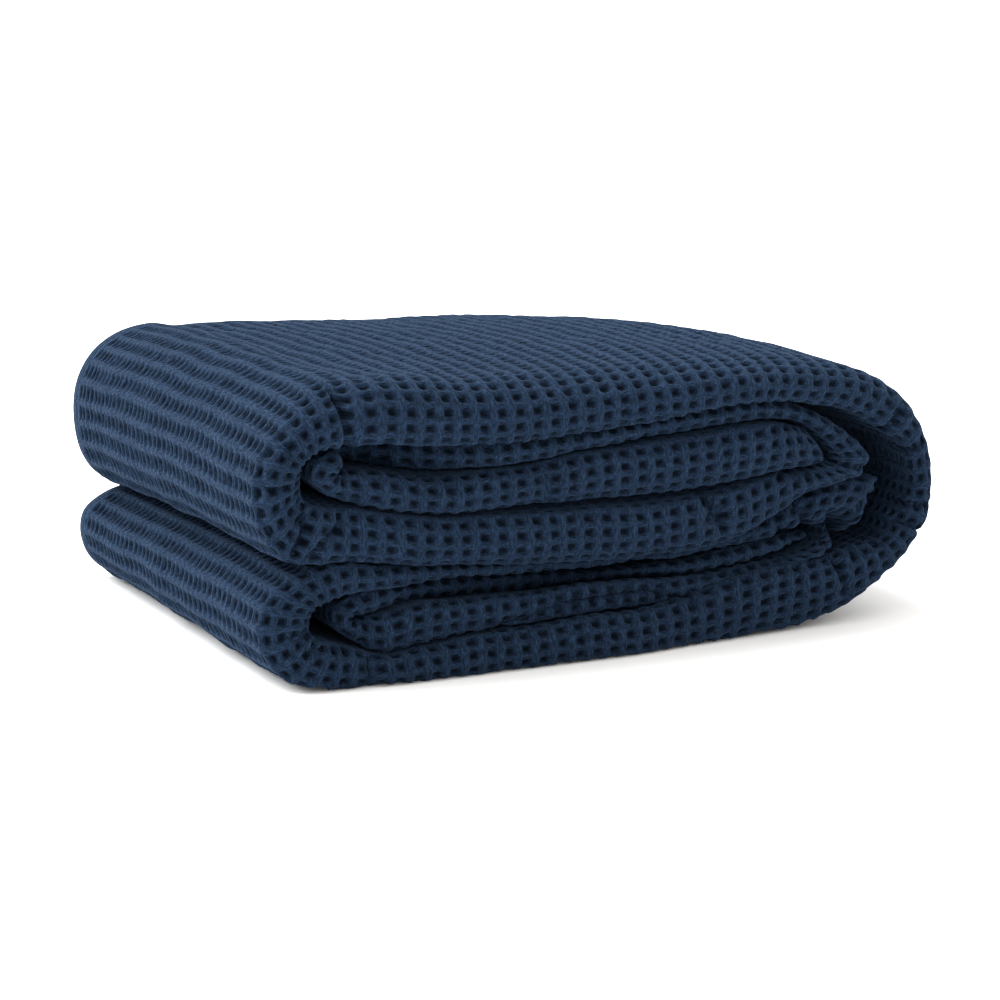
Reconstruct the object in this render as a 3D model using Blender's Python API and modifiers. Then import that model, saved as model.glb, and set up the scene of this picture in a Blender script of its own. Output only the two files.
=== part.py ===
"""Waffle weave cotton blanket, folded into a pile of eight folds.

One sheet of cloth. Across its width it is folded back and forth into six plies, with its rounded
spine at the front. Each end of that strip is then folded inwards over and over, C inside B and D,
and F inside E and G, and the two halves are folded together: fold A is the top of the pile and
fold H the bottom. The sheet is one middle surface, thickened with a Solidify modifier.

X runs along the front of the pile, Y goes from front to back, Z is up, in metres.
"""
import math

import bmesh
import bpy
from mathutils import Vector

MM = 0.001

# driving dimensions
CLOTH = 2.0 * MM            # thickness of one ply
PLY_GAP = 0.35 * MM         # least air between two plies: where a fold is pressed flat, they thin
PLIES = 6
DEPTH = 279 * MM            # front to back, the cloth's width folded in six
SEAM_GAP = 0.4 * MM         # air between two folds that lie on each other
SPINE_ROUNDNESS = 0.9       # depth of a rounded front edge, as a share of its half height
BACK_ROUNDNESS = 1.2        # length of a rounded back edge, as a share of the plies' pitch
HEM_STEP = 3 * MM           # how far one ply's back edge lies inside the next
CLOTH_COLOR = (0.012, 0.028, 0.075, 1.0)
CLOTH_ROUGHNESS = 0.9

# places along X where the seams between the folds are measured, from the front left corner
SEAM_X = (20, 70, 140, 210, 255, 275)

# height of each seam in mm at those places; the top of the pile and the floor are the last ones
SEAM_HEIGHT = {
    "top":   (137, 138, 139, 139, 137, 136),
    "A-B":   (113, 111, 112, 117, 118.5, 117.5),
    "B-C":   (101, 96.5, 99.5, 105, 106.5, 104),
    "C-D":   (88, 78, 76.5, 76, 80.5, 81.5),
    "D-E":   (58.3, 53.5, 50, 49.5, 58, 67),
    "E-F":   (42, 42, 38.6, 38, 45.8, 49.5),
    "F-G":   (30.5, 30.5, 27.2, 26.6, 33.7, 35.5),
    "G-H":   (19, 18.5, 15.8, 15, 21.5, 27),
    "floor": (0, 0, 0, 0, 0, 4),
}

# each fold: the seams above and below it, whether the hemmed ply is on its upper side, which way
# the strip runs in it, how far its spine is set back from the front at the places of SEAM_X, and
# where its back edge lies
FOLDS = {
    #     above    below    hem up  heading   spine set back in mm       back edge in mm
    "A": ("top",   "A-B",   True,   "right",  (2, 0, 0, 0, 2, 3),        278),
    "B": ("A-B",   "B-C",   True,   "right",  (22, 8, 7, 8, 9, 10),      271),
    "C": ("B-C",   "C-D",   False,  "left",   (5, 4, 4, 4, 4, 6),        276),
    "D": ("C-D",   "D-E",   False,  "left",   (4, 2, 1, 1, 4, 7),        279),
    "E": ("D-E",   "E-F",   True,   "right",  (7, 11, 16, 17, 16, 16),   272),
    "F": ("E-F",   "F-G",   True,   "right",  (12, 12, 12, 14, 16, 18),  275),
    "G": ("F-G",   "G-H",   False,  "left",   (12, 4, 5, 7, 12, 14),     270),
    "H": ("G-H",   "floor", False,  "left",   (5, 3, 3, 3, 5, 6),        277),
}

# each turn joins its upper fold, the first letter, to its lower one: where its curve leaves them,
# the outermost point of its outer and of its inner face, its steps and its spine's set back, in mm
TURNS = {
    #      upper x  lower x  outer x, z   inner x, z   steps  spine
    "BC": (22,      24,      (8, 101),    (21, 101),     2,     6),
    "BD": (262,     275,     (318, 78),   (298, 84),     4,     8),
    "AD": (20,      20,      (-19.5, 97), (0, 100),      4,     7),
    "AH": (264,     240,     (351, 64),   (336, 63),     6,     4),
    "EH": (20,      20,      (-19, 29),   (1, 30),       4,     9),
    "EG": (262,     262,     (308, 62),   (284, 47),     4,     10),
    "FG": (30,      30,      (13, 30),    (27, 30.4),    2,     14),
}

# order of the folds and turns along the strip
STRIP = ("C", "BC", "B", "BD", "D", "AD", "A", "AH", "H", "EH", "E", "EG", "G", "FG", "F")

# the strip's two free ends: lower and upper corner of the last cut, in mm
FREE_ENDS = {
    "C": ((284, 82.8), (271, 101.5)),
    "F": ((262, 35.2), (261, 46.2)),
}

# places of the cuts between two turns, and between a turn and a free end
SHORT_FOLD = SEAM_X[1:4]
LONG_FOLD = SEAM_X[1:5]

# the pile is crowned: tallest at CROWN_Y, lower at the back, most of all on the right, where the
# last row gives the drop at the places of SEAM_X; all as shares of the height
CROWN_Y = 95 * MM
CROWN_RISE = 0.022
FRONT_DROP = 0.025
BACK_DROP = (0.045, 0.048, 0.092, 0.115, 0.13, 0.14)

# point along a ply between its two ends, as a share of the depth
PLY_MIDDLE = 0.45

# steps of the rounded edges: the spine's three nested bends, and the back's small ones
OUTER_STEPS = 4
MIDDLE_STEPS = 2
INNER_STEPS = 1
BACK_STEPS = 1


def at(values, x):
    """Value of a row of measures at x, straight between the places of SEAM_X."""
    if x <= SEAM_X[0]:
        return values[0]
    for i in range(1, len(SEAM_X)):
        if x <= SEAM_X[i]:
            share = (x - SEAM_X[i - 1]) / (SEAM_X[i] - SEAM_X[i - 1])
            return values[i - 1] + share * (values[i] - values[i - 1])
    return values[-1]


def fold_cut(name, x):
    """A cut through a fold at x: its lower and upper point and its spine's set back, in mm."""
    above, below, _, _, spine, _ = FOLDS[name]
    half_gap = 0.5 * SEAM_GAP / MM
    low = at(SEAM_HEIGHT[below], x) + (0 if below == "floor" else half_gap)
    high = at(SEAM_HEIGHT[above], x) - (0 if above == "top" else half_gap)
    return Vector((x, low)), Vector((x, high)), at(spine, x)


def hem_first(name, low, high):
    """Puts the point on the hemmed ply's side first."""
    hem_up = FOLDS[name][2]
    return (high, low) if hem_up else (low, high)


def fold_stations(name):
    """Cuts through the straight part of a fold, in the order in which the strip runs.

    A station is the point on the hemmed ply's face, the point on the other face, the spine's set
    back and the back edge, all in mm.
    """
    places = list(LONG_FOLD if name in FREE_ENDS else SHORT_FOLD)
    heading, back = FOLDS[name][3], FOLDS[name][5]
    if heading == "left":
        places.reverse()
    stations = []
    for x in places:
        low, high, spine = fold_cut(name, x)
        stations.append((*hem_first(name, low, high), spine, back))
    return stations


def quarter(start_x, start_z, extreme, angle):
    """Point of a quarter ellipse from its start at angle 0 to the outermost point at 90 degrees."""
    return Vector((start_x + (extreme[0] - start_x) * math.sin(angle),
                   extreme[1] + (start_z - extreme[1]) * math.cos(angle)))


def turn_stations(name, coming_from):
    """Cuts through a turn, fanned out between its inner and its outer face."""
    upper, lower = name
    upper_x, lower_x, outer, inner, steps, spine = TURNS[name]
    upper_low, upper_high, upper_spine = fold_cut(upper, upper_x)
    lower_low, lower_high, lower_spine = fold_cut(lower, lower_x)
    upper_back, lower_back = FOLDS[upper][5], FOLDS[lower][5]
    hem_outside = FOLDS[upper][2]
    stations = []
    for i in range(steps + 1):
        share = i / steps
        angle = math.pi * share
        if share <= 0.5:
            far = quarter(upper_x, upper_high.y, outer, angle)
            near = quarter(upper_x, upper_low.y, inner, angle)
            spine_here = upper_spine + (spine - upper_spine) * math.sin(angle)
        else:
            far = quarter(lower_x, lower_low.y, outer, math.pi - angle)
            near = quarter(lower_x, lower_high.y, inner, math.pi - angle)
            spine_here = lower_spine + (spine - lower_spine) * math.sin(angle)
        back = upper_back + (lower_back - upper_back) * share
        faces = (far, near) if hem_outside else (near, far)
        stations.append((*faces, spine_here, back))
    if coming_from == lower:
        stations.reverse()
    return stations


def free_end_station(name):
    """The last cut of a free end of the strip."""
    low, high = FREE_ENDS[name]
    return (*hem_first(name, Vector(low), Vector(high)), FOLDS[name][4][-1], FOLDS[name][5])


def strip_stations():
    """All cuts along the strip, from one free end to the other."""
    stations = [free_end_station(STRIP[0])]
    for place, name in enumerate(STRIP):
        if name in TURNS:
            stations += turn_stations(name, STRIP[place - 1])
        else:
            stations += fold_stations(name)
    return stations + [free_end_station(STRIP[-1])]


def spine_arc(start, radius, low, high, steps, pitch):
    """Rounded front edge that joins ply level low to ply level high, as (y, level) points."""
    middle = 0.5 * (low + high)
    half = 0.5 * (high - low)
    reach = SPINE_ROUNDNESS * abs(half) * pitch
    points = []
    for i in range(steps + 1):
        angle = math.pi * i / steps
        points.append((start + radius - reach * math.sin(angle), middle - half * math.cos(angle)))
    return points


def back_arc(edge, low, high, pitch):
    """Rounded back edge that joins ply level low to its neighbour high."""
    length = BACK_ROUNDNESS * pitch
    points = []
    for i in range(BACK_STEPS + 1):
        angle = math.pi * i / BACK_STEPS
        level = 0.5 * (low + high) + 0.5 * (low - high) * math.cos(angle)
        points.append((edge - length * (1 - math.sin(angle)), level))
    return points


def ply_section(front, back, pitch):
    """The sheet's back and forth line across its width, as (y, level) points.

    Level 5 is the outer ply with the free hem. The line ends in the hem of level 2.
    """
    top = PLIES - 1
    radius = 0.5 * top * pitch * SPINE_ROUNDNESS
    start = front + 0.5 * CLOTH

    def ply(level):
        return [(start + radius + PLY_MIDDLE * (back - start - radius), level)]

    def spine(low, high, steps):
        return spine_arc(start, radius, low, high, steps, pitch)

    outer = [(back, top)] + ply(top) + spine(top, 0, OUTER_STEPS) + ply(0)
    middle = ply(1) + spine(1, top - 1, MIDDLE_STEPS) + ply(top - 1)
    inner = ply(3) + spine(3, 2, INNER_STEPS) + ply(2) + [(back - 2 * HEM_STEP, 2)]
    return (outer + back_arc(back - HEM_STEP, 0, 1, pitch)
            + middle + back_arc(back - HEM_STEP, top - 1, 3, pitch) + inner)


def crown(point):
    """Lifts the middle of the pile and lets its back droop, more so on the right."""
    x, y, z = point
    if y < CROWN_Y:
        drop = FRONT_DROP * ((CROWN_Y - y) / CROWN_Y) ** 2
    else:
        drop = at(BACK_DROP, x / MM) * ((y - CROWN_Y) / (DEPTH - CROWN_Y)) ** 2
    lowest_ply = 0.5 * CLOTH
    return Vector((x, y, lowest_ply + (z - lowest_ply) * (1 + CROWN_RISE - drop)))


def sheet_grid():
    """Rows of points of the sheet's middle surface, one row for each cut along the strip.

    The second list is the thickness of the plies at each row.
    """
    rows = []
    ply_sizes = []
    for hem, inner, spine, back in strip_stations():
        hem = hem * MM
        inner = inner * MM
        across = hem - inner
        thick = across.length
        direction = across / thick
        ply_size = min(CLOTH, (thick - (PLIES - 1) * PLY_GAP) / PLIES)
        pitch = (thick - ply_size) / (PLIES - 1)
        row = []
        for y, level in ply_section(spine * MM, back * MM, pitch):
            place = inner + direction * (0.5 * ply_size + level * pitch)
            row.append(crown((place.x, y, place.y)))
        rows.append(row)
        ply_sizes.append(ply_size)
    return rows, ply_sizes


def centered(rows):
    """Moves the pile so that its box stands centred on the origin."""
    points = [p for row in rows for p in row]
    middle_x = 0.5 * (min(p.x for p in points) + max(p.x for p in points))
    middle_y = 0.5 * (min(p.y for p in points) + max(p.y for p in points))
    return [[p - Vector((middle_x, middle_y, 0)) for p in row] for row in rows]


def cotton():
    material = bpy.data.materials.new("navy cotton")
    material.use_nodes = True
    shader = material.node_tree.nodes["Principled BSDF"]
    shader.inputs["Base Color"].default_value = CLOTH_COLOR
    shader.inputs["Roughness"].default_value = CLOTH_ROUGHNESS
    shader.inputs["Metallic"].default_value = 0.0
    return material


def blanket(collection):
    rows, ply_sizes = sheet_grid()
    rows = centered(rows)
    mesh = bpy.data.meshes.new("blanket")
    bm = bmesh.new()
    grid = [[bm.verts.new(p) for p in row] for row in rows]
    for this, following in zip(grid, grid[1:]):
        for j in range(len(this) - 1):
            bm.faces.new((this[j], following[j], following[j + 1], this[j + 1]))
    bmesh.ops.recalc_face_normals(bm, faces=bm.faces)
    bm.to_mesh(mesh)
    bm.free()
    body = bpy.data.objects.new("blanket", mesh)
    body.data.materials.append(cotton())
    collection.objects.link(body)
    across_count = len(rows[0])
    group = body.vertex_groups.new(name="ply thickness")
    for i, ply_size in enumerate(ply_sizes):
        group.add(list(range(i * across_count, (i + 1) * across_count)), ply_size / CLOTH, "REPLACE")
    shell = body.modifiers.new("thickness", "SOLIDIFY")
    shell.thickness = CLOTH
    shell.offset = 0
    shell.use_even_offset = False
    shell.vertex_group = group.name
    return body


def main():
    for old in list(bpy.data.objects):
        bpy.data.objects.remove(old, do_unlink=True)
    collection = bpy.data.collections.new("waffle weave cotton blanket")
    bpy.context.scene.collection.children.link(collection)
    blanket(collection)


main()
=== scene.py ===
# %% [markdown]
# # A folded waffle weave blanket
#
# The blanket is one sheet of navy cotton. Across its width it is folded back and forth into six
# plies, which makes a long soft strip with a rounded spine at the front. The strip is then folded
# over again and again, so that eight folds, A at the top to H at the bottom, lie on each other.
# This lesson builds that strip fold by fold, presses the waffle cells into its outer ply, and then
# gives it cotton, a floor, light and a camera.

# %% Load the measured frame
import math

import bpy
import numpy as np
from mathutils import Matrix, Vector


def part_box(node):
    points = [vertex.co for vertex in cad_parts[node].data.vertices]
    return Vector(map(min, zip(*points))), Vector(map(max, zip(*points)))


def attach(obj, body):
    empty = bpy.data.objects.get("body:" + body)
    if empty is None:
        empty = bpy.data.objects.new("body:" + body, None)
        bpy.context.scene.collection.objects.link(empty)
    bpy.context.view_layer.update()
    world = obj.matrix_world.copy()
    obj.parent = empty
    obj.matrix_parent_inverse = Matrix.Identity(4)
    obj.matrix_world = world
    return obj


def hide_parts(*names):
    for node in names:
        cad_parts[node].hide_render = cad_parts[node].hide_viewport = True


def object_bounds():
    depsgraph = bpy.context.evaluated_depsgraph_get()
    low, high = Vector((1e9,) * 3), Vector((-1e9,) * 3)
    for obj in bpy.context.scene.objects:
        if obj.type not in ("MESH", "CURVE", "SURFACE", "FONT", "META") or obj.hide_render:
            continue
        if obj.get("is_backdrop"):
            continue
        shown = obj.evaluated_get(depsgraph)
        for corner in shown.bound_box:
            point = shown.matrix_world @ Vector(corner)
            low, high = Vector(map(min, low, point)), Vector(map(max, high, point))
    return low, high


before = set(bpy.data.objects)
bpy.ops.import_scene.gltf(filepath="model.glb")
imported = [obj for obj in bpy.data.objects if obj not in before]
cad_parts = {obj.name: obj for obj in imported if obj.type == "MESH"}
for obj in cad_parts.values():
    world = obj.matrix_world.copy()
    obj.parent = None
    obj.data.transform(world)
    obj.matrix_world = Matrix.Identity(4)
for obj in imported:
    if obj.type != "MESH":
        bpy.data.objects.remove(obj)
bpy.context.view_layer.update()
NODE = "blanket"
low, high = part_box(NODE)
print("solid blanket, in mm:", [round(1000 * side) for side in high - low])

# %% [markdown]
# ## Where things are
#
# Every measure below is in millimetres from the front left corner of the pile: x runs along the
# front, y goes back and z goes up. The leftmost turn stands 19.5 mm outside that corner. A place
# is turned into Blender's metres only when a mesh is made.

# %% Name the sizes of the cloth
MM = 0.001
LEFT_TURN_REACH = 19.5
CORNER = np.array([low.x + LEFT_TURN_REACH * MM, low.y, low.z])

CELL_ALONG = 9.4      # a waffle cell's length along the strip
CELL_ACROSS = 6.8     # and its width across the strip
CLOTH = 2.4           # thickness over the ridges
PIT = 2.6             # depth of a cell
TOP_PLY = 5           # the six plies of a fold are levels 0 to 5, and level 5 carries the free hem
DEPTH = 279           # the pile's, from front to back
HEM_STEP = 3          # each ply's back edge lies this far inside the next
HEM_WIDTH = 12
STITCH_AT = 9         # the hem's stitches run this far from its edge
print("cells to a square metre:", round(1e6 / (CELL_ALONG * CELL_ACROSS)))


def to_metres(points):
    """Places in mm from the pile's corner, as metres in the frame."""
    return CORNER + np.asarray(points) * MM


# %% [markdown]
# ## The camera
#
# A product photograph is mostly its viewpoint, so the camera comes first and every later step can
# be compared with the picture. It stands about 1.4 m away with a long lens, a little above the
# pile and turned to its left corner.

# %% Place the camera
CAMERA_PLACE = (-509.7, -1235.5, 376.5)
CAMERA_TARGET = (99.4, 0.0, 84.2)
CAMERA_LENS = 107.46
CAMERA_SENSOR = 36

camera_data = bpy.data.cameras.new("camera")
camera_data.lens = CAMERA_LENS
camera_data.sensor_width = CAMERA_SENSOR
camera = bpy.data.objects.new("camera", camera_data)
bpy.context.scene.collection.objects.link(camera)
camera.location = to_metres(CAMERA_PLACE)
line_of_sight = Vector(to_metres(CAMERA_TARGET)) - camera.location
camera.rotation_euler = line_of_sight.to_track_quat("-Z", "Y").to_euler()
bpy.context.scene.camera = camera
print("camera to pile, in metres:", round(line_of_sight.length, 3))

# %% [markdown]
# ## The straight folds
#
# Seen from the front, the pile is a stack of folds with a wavy seam between each two. Cloth fluffs
# up and sags at its spine and lies flatter behind it, so each seam has two lines: one at the front
# edge and one deeper in. A table of heights at a few places along x is enough, because a smooth
# curve joins them.

# %% Heights of the seams
SEAM_X = np.array([20, 40, 60, 90, 120, 150, 180, 210, 235, 257, 275])
FRONT_SEAMS = {
    "top":   (140.5, 142, 141.5, 140.2, 139.4, 139, 139, 139, 138.5, 137.5, 136),
    "A-B":   (112.5, 114.2, 111.6, 110.2, 110, 111.3, 112.9, 115.8, 118.5, 117.8, 113.5),
    "B-C":   (102.5, 101.5, 96.3, 95.7, 97.6, 101.1, 104, 105.7, 107.3, 107, 103),
    "C-D":   (88.2, 82.9, 78.7, 76.6, 76.9, 76.4, 75.5, 76, 78.1, 80.4, 81.4),
    "D-E":   (58.3, 55.6, 53.4, 51, 48, 45.8, 44.8, 45.7, 48.6, 57.5, 66),
    "E-F":   (42, 43.5, 44.5, 44, 42, 41, 40.6, 41, 42, 45.8, 49.5),
    "F-G":   (25, 31.3, 37, 36, 35.5, 37.5, 36.6, 35, 34.5, 34.7, 35.5),
    "G-H":   (19.5, 12.6, 14.6, 18.3, 19, 21, 21.2, 22.8, 25, 28, 31),
    "floor": (0, 0, 0, 0, 0, 0, 0, 0, 1, 2.6, 5),
}
DEEP_X = np.array([20, 70, 140, 210, 255, 275])
DEEP_SEAMS = {
    "top":   (137, 138, 139, 139, 137, 136),
    "A-B":   (113, 111, 112, 117, 118.5, 117.5),
    "B-C":   (101, 96.5, 99.5, 105, 106.5, 104),
    "C-D":   (88, 78, 76.5, 76, 80.5, 81.5),
    "D-E":   (58.3, 53.5, 50, 49.5, 58, 67),
    "E-F":   (42, 42, 38.6, 38, 45.8, 49.5),
    "F-G":   (30.5, 30.5, 27.2, 26.6, 33.7, 35.5),
    "G-H":   (19, 18.5, 15.8, 15, 21.5, 27),
    "floor": (0, 0, 0, 0, 2.4, 5),
}
FLUFF_DEPTH = 45      # how far behind the front edge the front heights have died away
print("seams:", ", ".join(FRONT_SEAMS))

# %% [markdown]
# Each fold lies between two seams. The strip runs through it to the left or to the right, its
# hemmed ply is its upper or its lower one, and its spine stands back from the pile's front by an
# amount that changes along x. The spine isn't a half circle: the ply on each side rolls over with
# its own reach, and its nose, the foremost line, lies nearer to one of them.

# %% Describe the folds
FOLDS = {
    #    above   below    hem up  heading   from x, to x  back edge  roll: hem, other  nose
    "A": ("top", "A-B",   True,   "right",  (40, 240),    278,       (28, 5),          0.42),
    "B": ("A-B", "B-C",   True,   "right",  (40, 240),    271,       (6, 6),           0.50),
    "C": ("B-C", "C-D",   False,  "left",   (40, 260),    276,       (9, 8),           0.50),
    "D": ("C-D", "D-E",   False,  "left",   (40, 260),    279,       (11, 8),          0.55),
    "E": ("D-E", "E-F",   True,   "right",  (40, 240),    272,       (5, 5),           0.50),
    "F": ("E-F", "F-G",   True,   "right",  (45, 240),    275,       (5, 5),           0.50),
    "G": ("F-G", "G-H",   False,  "left",   (60, 240),    270,       (6, 6),           0.50),
    "H": ("G-H", "floor", False,  "left",   (40, 200),    277,       (3.5, 7),         0.62),
}
SET_BACKS = {
    "A": (3, 1, 0, 0, 0, 0, 0, 0, 0, 1, 3),
    "B": (32, 33, 23, 11, 8, 7, 8, 9, 9, 10, 10),
    "C": (8, 6, 5, 4, 4, 4, 4, 4, 4, 4, 6),
    "D": (5, 4, 3, 2, 1, 1, 1, 1, 2, 4, 7),
    "E": (7, 8, 10, 14, 17, 18, 18, 18, 17, 16, 16),
    "F": (12, 14, 18, 25, 28, 27, 22, 18, 16, 16, 18),
    "G": (12, 9, 5, 5, 6, 7, 8, 9, 11, 12, 14),
    "H": (2, 0.5, -1, -2, -2.5, -3, -3, -2.5, -1.5, 0, 2),
}
# A cut is x and z of the hem side and of the other side at the front, the same four numbers deeper
# in, and then these six.
SET_BACK, BACK_EDGE, HEM_ROLL, OTHER_ROLL, NOSE, STRETCH = range(8, 14)


def fold_rows(name):
    """The cuts through a straight fold, in the order in which the strip runs."""
    above, below, hem_up, heading, (first, last), back, rolls, nose = FOLDS[name]
    places = [x for x in SEAM_X if first <= x <= last]
    if heading == "left":
        places.reverse()
    rows = []
    for x in places:
        sides = []
        for seams, xs in ((FRONT_SEAMS, SEAM_X), (DEEP_SEAMS, DEEP_X)):
            upper = (x, np.interp(x, xs, seams[above]))
            lower = (x, np.interp(x, xs, seams[below]))
            sides += [*upper, *lower] if hem_up else [*lower, *upper]
        rows.append((*sides, np.interp(x, SEAM_X, SET_BACKS[name]), back, *rolls, nose, 1.0))
    return rows


print("cuts through fold A:", len(fold_rows("A")))

# %% [markdown]
# ## The turns
#
# Where the strip turns back on itself, its cuts fan out like the spokes of a wheel. The hemmed ply
# is always on the outside of a turn. These rows are set from the look of each turn, from its upper
# fold to its lower one. The big right turn carries a lip: at its foot, its inner face stands higher
# at the front than behind, where the fold above presses on it.

# %% Describe the turns
TURN_STRETCH = 1.13   # the outer ply of a turn is drawn out along the strip
TURNS = {
    # each row: outer x, z    inner x, z    set back
    "BC": [(29, 112.9, 29, 102.6, 29), (23, 112.5, 24.5, 102.5, 13), (12, 109.6, 22.5, 102.3, 6),
           (7.5, 103, 21.5, 101.9, 6), (10, 97.3, 21.5, 101.6, 6), (16.5, 91.2, 22.5, 101.4, 7),
           (25, 87.4, 25.5, 101.8, 8)],
    "BD": [(258, 118, 258, 107, 9), (274, 112.5, 272, 104.5, 8), (292, 104, 283, 96.5, 7),
           (304, 95.4, 289, 90, 6), (313.5, 83, 292, 85.5, 6), (312, 76.6, 290, 83.4, 6),
           (299, 72.4, 285, 82.4, 6), (277, 67.5, 275, 81.5, 6)],
    "AD": [(24, 139.6, 22, 113.2, 3), (7, 135.2, 12, 112, 4), (-8, 123, 6, 108, 5),
           (-17.5, 108.5, 4, 104, 6), (-19.5, 92, 4, 99.5, 7), (-16.5, 74.3, 4.5, 95, 7),
           (-6.3, 61.9, 8, 91, 6), (7, 58.6, 15, 89, 6), (22, 58, 24, 87.3, 5)],
    "AH": [(262, 137, 254, 118, 1), (283, 134.5, 275, 114.2, 2), (303, 130, 293, 111, 3),
           (322, 122, 308, 104, 4), (336.5, 110.5, 321, 95.5, 4), (346, 95.3, 330, 85, 4),
           (350.5, 80, 334.5, 73.5, 4), (351, 64, 336, 63.5, 4), (348, 49, 333, 55.5, 4),
           (339, 35, 326, 48.5, 4), (324, 21.5, 315, 42.3, 4), (305, 10.5, 302, 38.3, 4),
           (284, 3.5, 286, 35.8, 3.5), (264, 0.3, 268, 34.8, 3), (246, 0, 250, 33.5, 2),
           (228, 0, 230, 30, 1), (210, 0, 209, 24, 0.5)],
    "EH": [(24, 59, 25, 42.6, 7), (7, 56.6, 17, 40.4, 8), (-6.2, 51.4, 12, 38, 8),
           (-16, 42.8, 9.5, 35, 8), (-19, 29, 8.5, 31, 8), (-15.6, 15.4, 8.5, 27.5, 7),
           (-6.4, 5.2, 11, 24, 5), (6.5, 1, 17, 21.5, 3), (24, 0, 25, 18.8, 2)],
    "EG": [(258, 57.5, 258, 46, 14), (271, 64, 268, 48.5, 12), (288, 70, 277, 50.5, 10),
           (308, 72.8, 285, 50, 9), (321, 70, 288, 48, 9), (318, 61, 288, 45, 9),
           (309, 52, 285, 42, 9), (298, 41, 279, 38.5, 9), (282, 33.5, 270, 36, 10),
           (262, 29.5, 258, 35, 12)],
    "FG": [(35, 43, 37, 31.2, 12), (26, 40, 33, 30.6, 13), (20.5, 33, 31, 30, 13),
           (22.5, 25.5, 31.5, 29.2, 13), (30, 19.5, 34, 29.8, 11), (42, 13, 41, 31.6, 8)],
}
ROLL_OF_TURN = 8      # reach of both rolls in the middle of a turn
NOSE_OF_TURN = 0.5    # there the nose lies halfway between the plies
LIPS = {"AH": (0.62, 1.0, 9)}   # from and to which share of the turn, and how high in mm


def turn_rows(name):
    """The cuts through a turn, from its upper fold to its lower one."""
    upper, lower = (FOLDS[fold][-3:] for fold in name)
    last = len(TURNS[name]) - 1
    rows = []
    for i, (*cut, set_back) in enumerate(TURNS[name]):
        share = i / last
        back = upper[0] + (lower[0] - upper[0]) * share
        near_fold = abs(1 - 2 * share) ** 2       # 1 at both ends of the turn, 0 in its middle
        _, rolls, nose = upper if share < 0.5 else lower
        rolls = [ROLL_OF_TURN + (roll - ROLL_OF_TURN) * near_fold for roll in rolls]
        nose = NOSE_OF_TURN + (nose - NOSE_OF_TURN) * near_fold
        stretch = 1 + (TURN_STRETCH - 1) * (1 - near_fold)
        lip = 0.0
        if name in LIPS:
            lip_start, lip_end, lip_height = LIPS[name]
            along_lip = np.clip((share - lip_start) / (lip_end - lip_start), 0, 1)
            lip = lip_height * math.sin(math.pi * along_lip)
        rows.append((*cut, *cut[:3], cut[3] - lip, set_back, back, *rolls, nose, stretch))
    return rows


print("cuts through the big right turn:", len(turn_rows("AH")))

# %% [markdown]
# ## One long strip
#
# The folds and turns are threaded in the order in which the cloth was folded, from the free end
# inside the upper half to the one inside the lower half. A smooth cubic curve runs through all the
# cuts, and is then cut again at even steps of cloth, an eighth of a cell apart.

# %% Thread the strip
STRIP = ("C", "BC", "B", "BD", "D", "AD", "A", "AH", "H", "EH", "E", "EG", "G", "FG", "F")
UPWARD = ("BC", "AD", "EH", "FG")     # turns that the strip runs through from below
FREE_ENDS = {
    "C": (287, 83, 274, 101.8),
    "F": (292, 47.5, 290, 43.5),
}


def end_row(name):
    """The last cut of a free end."""
    back, rolls, nose = FOLDS[name][-3:]
    cut = FREE_ENDS[name]
    return (*cut, *cut, SET_BACKS[name][-1], back, *rolls, nose, 1.0)


def thread_strip():
    """All cuts in order, and the first and last cut of each fold and turn."""
    rows = [end_row(STRIP[0])]
    spans = {}
    for name in STRIP:
        new = fold_rows(name) if name in FOLDS else turn_rows(name)
        if name in UPWARD:
            new.reverse()
        spans[name] = (len(rows), len(rows) + len(new) - 1)
        rows += new
    rows.append(end_row(STRIP[-1]))
    return np.array(rows, float), spans


strip_rows, spans = thread_strip()
print("cuts before smoothing:", len(strip_rows))

# %% Cut the strip again at even steps of cloth
STEPS_ALONG = 8       # samples of a cell along the strip
HEM_SHARE = 0.65      # share of the hem side's length in a knot's place on the curve
LEAST_STEP = 0.5      # added to each step, so that no two knots fall together
DENSE_CUTS = 9000     # cuts from which the cloth's length is measured


def added_up(steps):
    """Steps along the last axis, added up from 0."""
    return np.concatenate([np.zeros_like(steps[..., :1]), np.cumsum(steps, axis=-1)], axis=-1)


def through(knots, rows, at):
    """A smooth cubic curve through the rows at the knots, read at the places in at."""
    slopes = np.gradient(rows, knots, axis=0)
    i = np.clip(np.searchsorted(knots, at, side="right") - 1, 0, len(knots) - 2)
    step = (knots[i + 1] - knots[i])[:, None]
    s = (at - knots[i])[:, None] / step
    return (rows[i] * (2 * s**3 - 3 * s**2 + 1) + slopes[i] * step * (s**3 - 2 * s**2 + s)
            + rows[i + 1] * (3 * s**2 - 2 * s**3) + slopes[i + 1] * step * (s**3 - s**2))


def even_cuts(rows):
    """Cuts an eighth of a cell of cloth apart, and the cloth's length at each row."""
    hem_step, inner_step = (np.linalg.norm(np.diff(rows[:, k:k + 2], axis=0), axis=1) for k in (0, 2))
    knots = added_up(HEM_SHARE * hem_step + (1 - HEM_SHARE) * inner_step + LEAST_STEP)
    dense_at = np.linspace(0, knots[-1], DENSE_CUTS)
    dense = through(knots, rows, dense_at)
    travelled = np.linalg.norm(np.diff(dense[:, 0:2], axis=0), axis=1) / dense[1:, STRETCH]
    cloth = added_up(travelled)
    count = int(cloth[-1] / CELL_ALONG) * STEPS_ALONG
    along = np.arange(count + 1) * CELL_ALONG / STEPS_ALONG
    cuts = through(knots, rows, np.interp(along, cloth, dense_at))
    return along, cuts, np.interp(knots, dense_at, cloth)


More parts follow.
